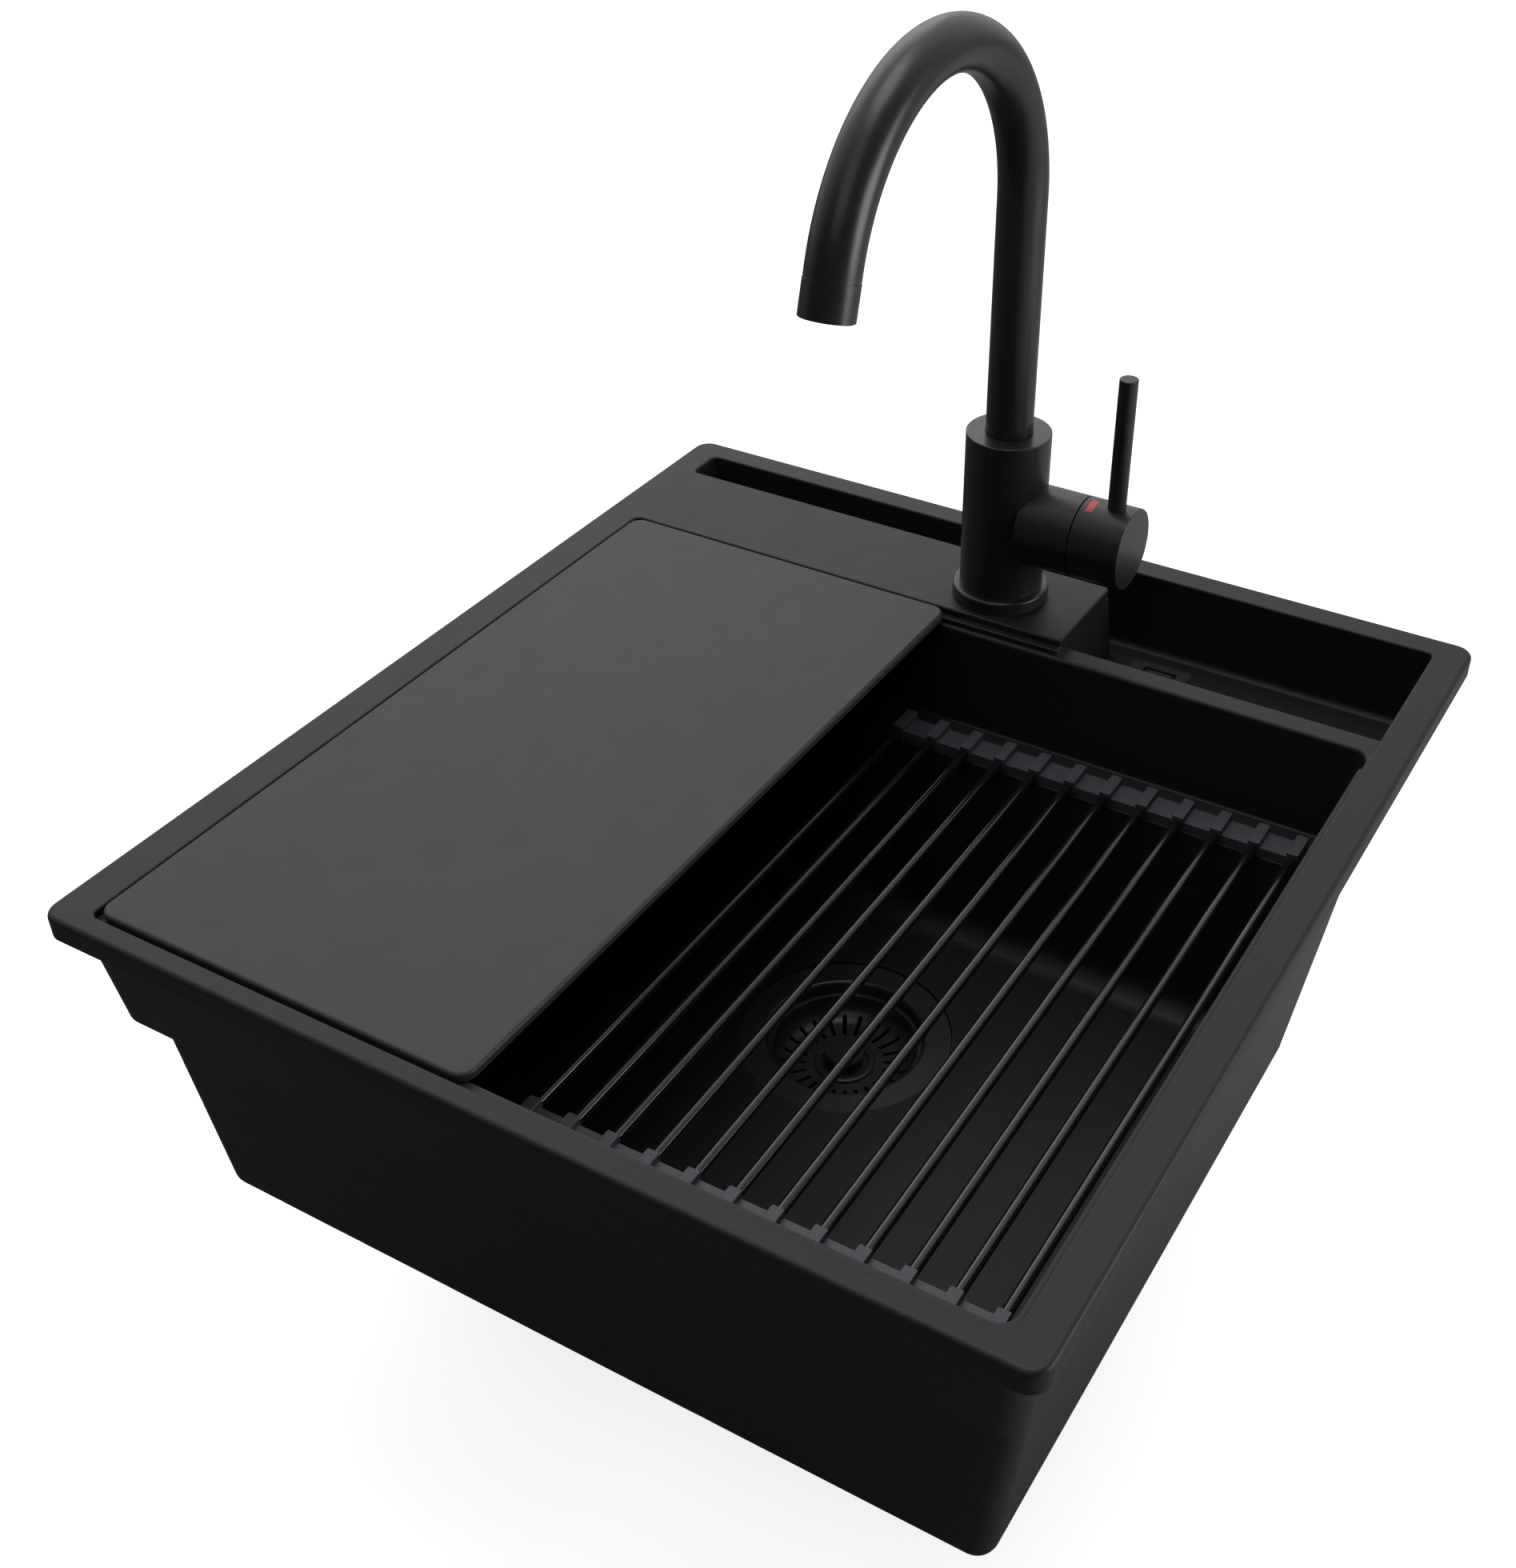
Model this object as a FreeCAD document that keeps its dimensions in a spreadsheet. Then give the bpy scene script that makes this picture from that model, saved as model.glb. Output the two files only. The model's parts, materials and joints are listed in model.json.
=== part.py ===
"""Workstation kitchen sink with its tap, waste, rack, cutting board and basket strainer.

Millimetres, +Z up, +Y to the back. The origin is the middle of the worktop cut-out, in the
plane of the rim's underside, so the worktop's top face is at Z = 0.
"""
import FreeCAD, Part
import math
import os
import re

import Sketcher

Vector = FreeCAD.Vector
doc = FreeCAD.newDocument("WorkstationSink")
sheet = doc.addObject("Spreadsheet::Sheet", "Sizes")

# ---------------------------------------------------------------- driving dimensions
SIZES = {
    # rim, measured from the sink's middle
    "rim_half_width": 238.2, "rim_half_depth": 260, "rim_thick": 11.5, "rim_corner": 9.5,
    "rim_round": 2.6, "inner_round": 1.2,
    # opening inside the rim
    "open_left": -217.7, "open_right": 220.5, "open_front": -249, "open_back": 244,
    "open_corner": 8, "open_corner_left": 4,
    # two ledges under the rim: the board lies on the first, the second steps the back wall
    "board_ledge_z": 7.5, "back_ledge_z": 4.5, "step_left": -206,
    "back_step_front": 132.5, "step_edge_round": 0.8, "divider_round": 2,
    # tap deck, an island between bowl, slot and tray
    "deck_front": 158.7, "deck_front_step": 155, "deck_back": 221.7, "deck_right": 49.8,
    "deck_draft": 3.4, "deck_corner": 3, "deck_thick": 13,
    # slot behind the tap deck and tray beside it
    "tray_front": 164.5, "tray_floor": -34.5, "tray_draft": 2, "slot_left": -220.2,
    "tray_corner": 3, "slot_corner": 3.5, "slot_run": 60, "tray_foot_corner": 6,
    "tray_round": 4,
    # bowl above the rack ledge
    "upper_left": -212.2, "upper_right": 217.8, "upper_front": -243.5, "upper_back": 153,
    "upper_draft": 6, "upper_draft_right": 4.2, "upper_corner": 8,
    # rack ledge and bowl below it
    "rack_ledge_z": -50, "lower_left": -196.2, "lower_right": 209.5, "lower_front": -211,
    "lower_back": 117.5, "lower_draft": 8, "lower_draft_right": 9.7,
    "lower_draft_back": 13.6, "lower_corner": 14, "rack_ledge_round": 1.5,
    "floor_z": -155.5, "floor_round": 15, "floor_corner": 20,
    # outside of the shell
    "shell_left": -229.7, "shell_right": 229.7, "shell_front": -251.5, "shell_back": 251.5,
    "shell_corner": 12, "shell_step_z": -56.5, "shell_step_draft": 2.5,
    "step_round": 2.5, "bowl_root_z": -52,
    "shell_step_right": 224.2, "shell_step_front": -243.5, "shell_bowl_back": 160,
    "rear_shell_z": -44.5, "outer_left": -207.2, "outer_right": 224.3,
    "outer_front": -240.6, "outer_back": 128, "outer_draft": 8, "outer_draft_front": 10.5,
    "outer_draft_right": 14, "outer_draft_back": 13, "outer_corner": 10,
    "shell_bottom_z": -164.5, "bottom_round": 9,
    # hollow under the tap deck
    "hollow_left": -205, "hollow_right": 40, "hollow_front": 163.8, "hollow_back": 212.6,
    "hollow_corner": 8,
    # allowances
    "through": 1, "seat_gap": 0.3, "joint_gap": 0.1, "turn_gap": 0.4, "edge_round": 0.5,
    # drain
    "drain_right": 11.8, "drain_back": 1, "drain_hole": 45, "flange_radius": 55.8,
    "flange_seat": 3.2, "cup_radius": 40.9, "cup_depth": 42, "cup_wall": 1.5,
    "outlet_radius": 20, "spigot_radius": 24, "spigot_end": -52, "gasket_thick": 3,
    "gasket_radius": 58, "locknut_radius": 55, "locknut_thick": 9, "flange_edge_top": -1.6,
    "flange_edge_foot": -2.9, "flange_edge_round": 0.4, "flange_mouth": -1.3,
    "mouth_round": 2.2, "throat_out": 1, "basket_seat": -9.6, "basket_seat_radius": 39.2,
    "notch_deep": 4, "notch_wide": 12, "notch_corner": 1.5, "notches": 8,
    "tail_radius": 19, "tail_wall": 1.5, "tail_end": -110, "tail_flange": 2,
    "outlet_pin_radius": 20, "outlet_pin_length": 24, "tail_nut_radius": 28,
    "tail_nut_up": 7, "tail_nut_down": 5, "flute_radius": 3, "flute_out": 1.6,
    "flutes": 12, "branch_z": -72, "branch_radius": 12.5, "branch_reach": 34,
    # strainer basket and stopper
    "basket_radius": 40.5, "basket_floor": -21.9, "basket_foot_radius": 36.1,
    "basket_wall": 0.9, "basket_slot_inner": 20.5, "basket_slot_outer": 34,
    "basket_slot_width": 2.4, "basket_slots": 24, "basket_round": 10, "knob_radius": 10.4,
    "knob_neck": 5, "knob_base": -16.2, "knob_top": -11.8, "knob_ring": 16.2,
    "knob_ring_wide": 4, "knob_ring_top": -19, "knob_ring_round": 1.4, "stopper_radius": 24,
    "stopper_thick": 2.6, "stopper_gap": 0.3, "stopper_stem": 3, "stopper_edge": 1,
    "stem_sunk": 0.6, "lip_foot": -9.3, "lip_top": -8.2, "lip_round": 0.4,
    "lip_wide": 1.7, "lip_bend": 2.4, "dish_step": 0.73, "knob_bevel": 1.4,
    "knob_edge": 0.8,
    # overflow in the tray
    "cover_left": 64.6, "cover_right": 98.8, "cover_front": 178, "cover_back": 232,
    "cover_thick": 3, "cover_corner": 3, "cover_gap": 0.4, "ring_left": 72.8,
    "ring_right": 91.8, "ring_inset": 5, "ring_width": 2.1, "overflow_hole_inset": 5,
    "ring_corner": 1.2, "ring_inner_corner": 0.8, "ring_floor": 0.8, "vent_inset": 14,
    "vent_corner": 0.6, "funnel_lip": 2, "funnel_rim": 6, "funnel_deep": 4,
    "funnel_corner": 6, "well_corner": 4, "pipe_grip": 12, "pipe_socket": 10,
    "elbow_radius": 13.5, "elbow_bottom": -84, "pipe_radius": 10.5, "pipe_wall": 1.2,
    "pipe_bend": 55,
    # cutting board
    "board_left": -216.6, "board_right": -15.5, "board_front": -247.2, "board_back": 157,
    "board_bottom": 7.7, "board_top": 12.5, "board_corner": 8, "board_round": 1.8,
    # rack
    "rod_radius": 2.5, "rod_pitch": 20, "rod_count": 12, "rod_first": -22.3,
    "rod_z": -45.6, "rod_front": -215, "rod_back": 131, "block_wide": 6.1,
    "block_deep": 17, "block_bottom": -49.8, "block_top": -41.3, "web_top": -45,
    "web_deep": 14, "strip_front": -217.5, "strip_back": 116.5, "strip_round": 0.5,
    "strip_corner": 0.8,
    # tap
    "tap_back": 188.2, "tap_hole": 17.5, "base_radius": 25.7, "base_top": 7.4,
    "base_round": 1.6, "base_gasket": 0.8, "gasket_inset": 0.6, "body_radius": 22.1, "body_top": 95,
    "bush_radius": 12.7, "bush_bottom": 72, "tube_radius": 12.2, "tube_wall": 1.2,
    "bush_play": 0.05, "riser_top": 215.4, "arch_radius": 90.5, "arch_angle": 163.1,
    "outlet_run": 4.1, "aerator_length": 16.7, "aerator_wall": 2.2, "aerator_groove": 0.4,
    "aerator_groove_wide": 0.7, "aerator_proud": 0.15, "insert_thick": 6, "insert_foot": 1,
    "jet_radius": 1, "jet_depth": 4, "jet_inner": 3, "jet_outer": 6.6, "jet_inner_count": 6,
    "jet_outer_count": 12, "socket_radius": 12, "socket_bottom": 34, "bush_sunk": 0.4,
    "foot_bottom": 40, "foot_radius": 11.5, "foot_wall": 4, "foot_sleeve": 8,
    "groove_low": 46, "groove_high": 56, "groove_wide": 2, "groove_deep": 1.35,
    "seal_radius": 0.9,
    # side barrel and lever
    "barrel_z": 46.4, "barrel_radius": 21.2, "barrel_end": 44.4, "cap_start": 45.3,
    "cap_end": 72.6, "cap_wall_start": 58, "cap_bore": 15.5, "cavity_radius": 16.4,
    "cavity_start": 15, "sleeve_radius": 11.5, "sleeve_bore": 9.6, "sleeve_start": 22,
    "sleeve_end": 43.5, "sleeve_play": 0.05, "nut_inset": 4.4, "lever_radius": 4.75, "lever_out": 62.1,
    "lever_rise": 70.1, "lever_sunk": 8, "stem_start": 29, "stem_radius": 4,
    "stem_grip": 3, "lever_tip_round": 0.6, "mark_proud": 0.05, "grub_proud": 0.3,
    "mark_start": 48.3, "mark_wide": 3.7, "mark_depth": 0.3, "mark_angle": 27,
    "mark_back_angle": 4, "grub_radius": 1.7, "grub_out": 48.4, "grub_length": 3.6,
    # tap fixing under the deck
    "shank_radius": 16.5, "shank_bore": 13.2, "shank_bottom": -42, "washer_radius": 23.6,
    "washer_thick": 2.5, "nut_flats": 40, "nut_thick": 9, "inlet_radius": 6,
    "inlet_bore": 3.2, "inlet_thread": 4.5, "inlet_grip": 12, "inlet_out": 6.5,
    "inlet_bottom": -52, "inlet_cap": 3,
}
for row, (alias, number) in enumerate(SIZES.items(), start=1):
    sheet.set(f"A{row}", alias)
    sheet.set(f"B{row}", str(number))
    sheet.setAlias(f"B{row}", alias)
doc.recompute()

pieces = []


# ---------------------------------------------------------------- helpers
def bound(text):
    """The expression with every alias in it read from the sheet."""
    return re.sub(
        "[a-z][a-z_]*", lambda word: "Sizes." + word[0] if word[0] in SIZES else word[0], text
    )


def value(text):
    """The expression's value in millimetres or degrees."""
    return float(sheet.evalExpression(bound(text)))


def bind(thing, prop, text):
    thing.setExpression(prop, bound(text))


def place(thing, right="0", back="0", up="0"):
    """Puts a sub-part's own origin at a place in the sink."""
    thing.Placement.Base = Vector(value(right), value(back), value(up))
    bind(thing, "Placement.Base.x", right)
    bind(thing, "Placement.Base.y", back)
    bind(thing, "Placement.Base.z", up)


def lay_to_right(thing):
    """Turns a sub-part's own axis from up to the right, as the tap's barrel lies."""
    thing.Placement.Rotation = FreeCAD.Rotation(Vector(0, 1, 0), 90)


def new_body(label):
    body = doc.addObject("PartDesign::Body", label.title().replace("_", ""))
    body.Label = label
    pieces.append(body)
    return body


def new_sketch(body, name, role="XY_Plane", height="0"):
    """A sketch on one of the body's own planes, moved along that plane's normal."""
    sketch = body.newObject("Sketcher::SketchObject", body.Name + name)
    plane = [item for item in body.Origin.OriginFeatures if item.Role == role][0]
    sketch.AttachmentSupport = [(plane, "")]
    sketch.MapMode = "FlatFace"
    bind(sketch, "AttachmentOffset.Base.z", height)
    return sketch


def fix(sketch, kind, line, end, text):
    index = sketch.addConstraint(Sketcher.Constraint(kind, -1, 1, line, end, value(text)))
    sketch.setExpression(f"Constraints[{index}]", bound(text))


def draw_circle(sketch, radius, right="0", up="0"):
    centre = Vector(value(right), value(up), 0)
    circle = Part.Circle(centre, Vector(0, 0, 1), value(radius))
    line = sketch.addGeometry(circle, False)
    index = sketch.addConstraint(Sketcher.Constraint("Radius", line, value(radius)))
    sketch.setExpression(f"Constraints[{index}]", bound(radius))
    fix(sketch, "DistanceX", line, 3, right)
    fix(sketch, "DistanceY", line, 3, up)
    return line


def draw_outline(sketch, corners):
    """A closed outline of straight lines. Each corner is a pair of expressions."""
    spots = [Vector(value(across), value(up), 0) for across, up in corners]
    lines = []
    for index, spot in enumerate(spots):
        segment = Part.LineSegment(spot, spots[(index + 1) % len(spots)])
        lines.append(sketch.addGeometry(segment, False))
    for index, line in enumerate(lines):
        follower = lines[(index + 1) % len(lines)]
        sketch.addConstraint(Sketcher.Constraint("Coincident", line, 2, follower, 1))
    for line, (across, up) in zip(lines, corners):
        fix(sketch, "DistanceX", line, 1, across)
        fix(sketch, "DistanceY", line, 1, up)


def draw_round_outline(sketch, corners):
    """A closed outline of level and upright sides with a round at every corner.

    Each corner is (across, up, radius); the sides are level and upright by turns.
    """
    spots = [Vector(value(across), value(up), 0) for across, up, radius in corners]
    bends = [value(radius) for across, up, radius in corners]
    count = len(corners)
    heads = []
    for index, spot in enumerate(spots):
        heads.append((spots[(index + 1) % count] - spot).normalize())
    sides = []
    for index, spot in enumerate(spots):
        start = spot + heads[index] * bends[index]
        end = spots[(index + 1) % count] - heads[index] * bends[(index + 1) % count]
        sides.append(sketch.addGeometry(Part.LineSegment(start, end), False))
    for index, (spot, bend) in enumerate(zip(spots, bends)):
        coming, going = heads[index - 1], heads[index]
        centre = spot + (going - coming) * bend
        left_turn = coming.cross(going).z > 0
        first = centre - going * bend if left_turn else centre + coming * bend
        start = math.atan2(first.y - centre.y, first.x - centre.x)
        circle = Part.Circle(centre, Vector(0, 0, 1), bend)
        arc = sketch.addGeometry(Part.ArcOfCircle(circle, start, start + math.pi / 2), False)
        head, tail = (1, 2) if left_turn else (2, 1)
        sketch.addConstraint(Sketcher.Constraint("Tangent", sides[index - 1], 2, arc, head))
        sketch.addConstraint(Sketcher.Constraint("Tangent", arc, tail, sides[index], 1))
        number = sketch.addConstraint(Sketcher.Constraint("Radius", arc, bend))
        sketch.setExpression(f"Constraints[{number}]", bound(corners[index][2]))
    for side, head, (across, up, radius) in zip(sides, heads, corners):
        if abs(head.x) > abs(head.y):
            sketch.addConstraint(Sketcher.Constraint("Horizontal", side))
            fix(sketch, "DistanceY", side, 1, up)
        else:
            sketch.addConstraint(Sketcher.Constraint("Vertical", side))
            fix(sketch, "DistanceX", side, 1, across)


def draw_rounded_box(sketch, left, right, front, back, corner):
    """A rectangle with four equal round corners, each side at its own place."""
    draw_round_outline(sketch, [
        (left, front, corner), (right, front, corner), (right, back, corner),
        (left, back, corner),
    ])


def pad(body, sketch, length, down=False):
    feature = body.newObject("PartDesign::Pad", sketch.Name + "Pad")
    feature.Profile = sketch
    feature.Reversed = down
    feature.Length = value(length)
    bind(feature, "Length", length)
    doc.recompute()
    return feature


def cut(body, sketch, depth, up=False, both_ways=False):
    """A pocket, and a test that it takes material away."""
    before = body.Shape.Volume
    feature = body.newObject("PartDesign::Pocket", sketch.Name + "Pocket")
    feature.Profile = sketch
    feature.Reversed = up
    feature.Midplane = both_ways
    feature.Length = value(depth)
    bind(feature, "Length", depth)
    doc.recompute()
    if body.Shape.Volume >= before:
        raise RuntimeError(f"{feature.Name} removes nothing")
    return feature


def turn(body, sketch, angle="360", groove=False):
    """A revolution, or a groove, round the sketch's upright axis."""
    before = body.Shape.Volume if groove else 0
    kind = "PartDesign::Groove" if groove else "PartDesign::Revolution"
    feature = body.newObject(kind, sketch.Name + "Turn")
    feature.Profile = sketch
    feature.ReferenceAxis = (sketch, ["V_Axis"])
    feature.Angle = value(angle)
    bind(feature, "Angle", angle)
    doc.recompute()
    if groove and body.Shape.Volume >= before:
        raise RuntimeError(f"{feature.Name} removes nothing")
    return feature


def loft(body, lower, upper, remove=False):
    """A straight-sided loft between two sketches, as a moulded wall with draft."""
    kind = "PartDesign::SubtractiveLoft" if remove else "PartDesign::AdditiveLoft"
    feature = body.newObject(kind, lower.Name + "Loft")
    feature.Profile = lower
    feature.Sections = [upper]
    feature.Ruled = True
    doc.recompute()
    return feature


def soften(body, name, radius, wanted, kind="PartDesign::Fillet"):
    """Rounds or chamfers the edges that the test picks from the body so far."""
    base = body.Tip
    names = []
    for number, edge in enumerate(base.Shape.Edges, start=1):
        if wanted(edge):
            names.append(f"Edge{number}")
    if not names:
        raise RuntimeError(f"{body.Label} {name} finds no edge")
    feature = body.newObject(kind, body.Name + name)
    feature.Base = (base, names)
    prop = "Radius" if kind.endswith("Fillet") else "Size"
    setattr(feature, prop, value(radius))
    bind(feature, prop, radius)
    doc.recompute()
    return feature


def around(body, feature, count, axis="Z_Axis"):
    """The feature repeated evenly round one of the body's own axes."""
    pattern = body.newObject("PartDesign::PolarPattern", feature.Name + "Ring")
    pattern.Originals = [feature]
    line = [item for item in body.Origin.OriginFeatures if item.Role == axis][0]
    pattern.Axis = (line, [""])
    pattern.Angle = 360
    pattern.Occurrences = int(value(count))
    bind(pattern, "Occurrences", count)
    body.Tip = pattern
    doc.recompute()
    return pattern


def along(body, features, count, pitch, axis="X_Axis"):
    """Features repeated at a pitch along one of the body's own axes."""
    pattern = body.newObject("PartDesign::LinearPattern", features[0].Name + "Row")
    pattern.Originals = features
    line = [item for item in body.Origin.OriginFeatures if item.Role == axis][0]
    pattern.Direction = (line, [""])
    bind(pattern, "Occurrences", count)
    bind(pattern, "Length", f"{pitch} * ( {count} - 1 )")
    body.Tip = pattern
    doc.recompute()
    return pattern


def turned(label, corners):
    """A body turned about its own upright axis from a half profile of (radius, height)."""
    body = new_body(label)
    sketch = new_sketch(body, "Profile", "XZ_Plane")
    draw_outline(sketch, corners)
    turn(body, sketch)
    return body


def ring(label, inner, outer, bottom, top):
    return turned(label, [(inner, bottom), (outer, bottom), (outer, top), (inner, top)])


def flat_at(height):
    """A test for edges that lie wholly at one height."""
    level = value(height)
    return lambda edge: (
        abs(edge.BoundBox.ZMin - level) < 0.01 and abs(edge.BoundBox.ZMax - level) < 0.01
    )


def round_at(radius, height):
    """A test for whole circles of one radius at one height."""
    level = flat_at(height)
    size = value(radius)
    return lambda edge: level(edge) and abs(edge.BoundBox.XLength / 2 - size) < 0.02


# ---------------------------------------------------------------- sink
def make_shell(body):
    """The rim and the drafted outside walls, stepped in below the rack ledge."""
    rim = new_sketch(body, "Rim")
    draw_rounded_box(
        rim, "- rim_half_width", "rim_half_width", "- rim_half_depth", "rim_half_depth",
        "rim_corner",
    )
    pad(body, rim, "rim_thick")
    share = "rear_shell_z / shell_step_z"
    rear_left = f"shell_left + shell_step_draft * {share}"
    rear_right = f"shell_right + ( shell_step_right - shell_right ) * {share}"
    rear_front = f"shell_front + ( shell_step_front - shell_front ) * {share}"
    under_rim = new_sketch(body, "UnderRim")
    draw_rounded_box(
        under_rim, "shell_left", "shell_right", "shell_front", "shell_back", "shell_corner"
    )
    under_rear = new_sketch(body, "UnderRear", height="rear_shell_z")
    draw_rounded_box(
        under_rear, rear_left, rear_right, rear_front, "shell_back - shell_step_draft",
        "shell_corner",
    )
    loft(body, under_rim, under_rear)
    ledge_top = new_sketch(body, "LedgeTop", height="rear_shell_z")
    draw_rounded_box(
        ledge_top, rear_left, rear_right, rear_front, "shell_bowl_back", "shell_corner"
    )
    ledge_foot = new_sketch(body, "LedgeFoot", height="shell_step_z")
    draw_rounded_box(
        ledge_foot, "shell_left + shell_step_draft", "shell_step_right",
        "shell_step_front", "shell_bowl_back - shell_step_draft", "shell_corner",
    )
    loft(body, ledge_top, ledge_foot)
    soften(body, "StepRound", "step_round", flat_at("shell_step_z"))
    bowl_top = new_sketch(body, "BowlTop", height="bowl_root_z")
    draw_rounded_box(
        bowl_top, "outer_left", "outer_right", "outer_front", "outer_back", "outer_corner"
    )
    bowl_foot = new_sketch(body, "BowlFoot", height="shell_bottom_z")
    draw_rounded_box(
        bowl_foot, "outer_left + outer_draft", "outer_right - outer_draft_right",
        "outer_front + outer_draft_front", "outer_back - outer_draft_back", "outer_corner",
    )
    loft(body, bowl_top, bowl_foot)
    soften(body, "BottomRound", "bottom_round", flat_at("shell_bottom_z"))


def make_recesses(body):
    """The opening with the tap deck left standing, its ledges, and the slot and tray."""
    opening = new_sketch(body, "Opening", height="rim_thick")
    draw_round_outline(opening, [
        ("open_left", "open_front", "open_corner_left"),
        ("open_right", "open_front", "open_corner"),
        ("open_right", "open_back", "tray_corner"),
        ("slot_left", "open_back", "slot_corner"),
        ("slot_left", "deck_back", "slot_corner"),
        ("deck_right", "deck_back", "deck_corner"),
        ("deck_right", "deck_front", "deck_corner"),
        ("open_left", "deck_front", "open_corner_left"),
    ])
    cut(body, opening, "rim_thick - board_ledge_z")
    step = new_sketch(body, "BackStep", height="board_ledge_z")
    draw_round_outline(step, [
        ("step_left", "back_step_front", "slot_corner"),
        ("open_right", "back_step_front", "slot_corner"),
        ("open_right", "open_back", "tray_corner"),
        ("slot_left", "open_back", "slot_corner"),
        ("slot_left", "deck_back", "slot_corner"),
        ("deck_right", "deck_back", "deck_corner"),
        ("deck_right", "deck_front_step", "deck_corner"),
        ("step_left", "deck_front_step", "slot_corner"),
    ])
    cut(body, step, "board_ledge_z - back_ledge_z")
    tray_top = new_sketch(body, "TrayTop", height="back_ledge_z")
    draw_rounded_box(
        tray_top, "deck_right", "open_right", "tray_front", "open_back", "tray_corner"
    )
    tray_foot = new_sketch(body, "TrayFoot", height="tray_floor")
    draw_rounded_box(
        tray_foot, "deck_right + deck_draft", "open_right - tray_draft",
        "tray_front + tray_draft", "open_back - tray_draft", "tray_foot_corner",
    )
    loft(body, tray_top, tray_foot, remove=True)
    slot_top = new_sketch(body, "SlotTop", height="back_ledge_z")
    draw_rounded_box(
        slot_top, "slot_left", "deck_right + slot_run", "deck_back", "open_back",
        "slot_corner",
    )
    slot_foot = new_sketch(body, "SlotFoot", height="tray_floor")
    draw_rounded_box(
        slot_foot, "slot_left + tray_draft", "deck_right + slot_run",
        "deck_back + deck_draft", "open_back - tray_draft", "tray_foot_corner",
    )
    loft(body, slot_top, slot_foot, remove=True)
    deck_side = value("deck_right")
    deck_rear = value("deck_back")
    slope = value("deck_draft")

    def on_deck_corner(edge):
        """The deck's upright edge where the slot turns into the tray."""
        box = edge.BoundBox
        return (
            box.ZLength > slope * 2
            and abs(box.Center.x - deck_side) < slope
            and abs(box.Center.y - deck_rear) < slope
        )

    soften(body, "DeckEdge", "deck_corner / 2", on_deck_corner)
    soften(body, "TrayRound", "tray_round", flat_at("tray_floor"))


def make_bowl(body):
    """The bowl, with drafted walls above and below the rack ledge."""
    upper_top = new_sketch(body, "UpperTop", height="board_ledge_z")
    draw_rounded_box(
        upper_top, "upper_left", "upper_right", "upper_front", "upper_back", "upper_corner"
    )
    upper_foot = new_sketch(body, "UpperFoot", height="rack_ledge_z")
    draw_rounded_box(
        upper_foot, "upper_left + upper_draft", "upper_right - upper_draft_right",
        "upper_front + upper_draft", "upper_back - upper_draft", "upper_corner",
    )
    loft(body, upper_top, upper_foot, remove=True)
    lower_top = new_sketch(body, "LowerTop", height="rack_ledge_z")
    draw_rounded_box(
        lower_top, "lower_left", "lower_right", "lower_front", "lower_back", "lower_corner"
    )
    lower_foot = new_sketch(body, "LowerFoot", height="floor_z")
    draw_rounded_box(
        lower_foot, "lower_left + lower_draft", "lower_right - lower_draft_right",
        "lower_front + lower_draft", "lower_back - lower_draft_back", "floor_corner",
    )
    loft(body, lower_top, lower_foot, remove=True)
    soften(body, "FloorRound", "floor_round", flat_at("floor_z"))
    soften(body, "RackLedgeRound", "rack_ledge_round", flat_at("rack_ledge_z"))


def make_holes(body):
    """Tap hole, hollow under the deck, drain hole with its seat, and overflow hole."""
    hollow = new_sketch(body, "Hollow", height="rear_shell_z")
    draw_rounded_box(
        hollow, "hollow_left", "hollow_right", "hollow_front", "hollow_back",
        "hollow_corner",
    )
    cut(body, hollow, "rim_thick - deck_thick - rear_shell_z", up=True)
    tap_hole = new_sketch(body, "TapHole", height="rim_thick")
    draw_circle(tap_hole, "tap_hole", "0", "tap_back")
    cut(body, tap_hole, "deck_thick * 2")
    seat = new_sketch(body, "FlangeSeat", height="floor_z")
    draw_circle(seat, "flange_radius + seat_gap", "drain_right", "drain_back")
    cut(body, seat, "flange_seat")
    drain = new_sketch(body, "DrainHole", height="floor_z")
    draw_circle(drain, "drain_hole", "drain_right", "drain_back")
    cut(body, drain, "floor_z - shell_bottom_z + through")
    cover_seat = new_sketch(body, "CoverSeat", height="tray_floor")
    draw_rounded_box(
        cover_seat, "cover_left - cover_gap", "cover_right + cover_gap",
        "cover_front - cover_gap", "cover_back + cover_gap", "cover_corner + cover_gap",
    )
    cut(body, cover_seat, "cover_thick")
    overflow = new_sketch(body, "OverflowHole", height="tray_floor")
    draw_rounded_box(
        overflow, "cover_left + overflow_hole_inset", "cover_right - overflow_hole_inset",
        "cover_front + overflow_hole_inset", "cover_back - overflow_hole_inset",
        "cover_corner",
    )
    cut(body, overflow, "tray_floor - rear_shell_z + through")


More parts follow.
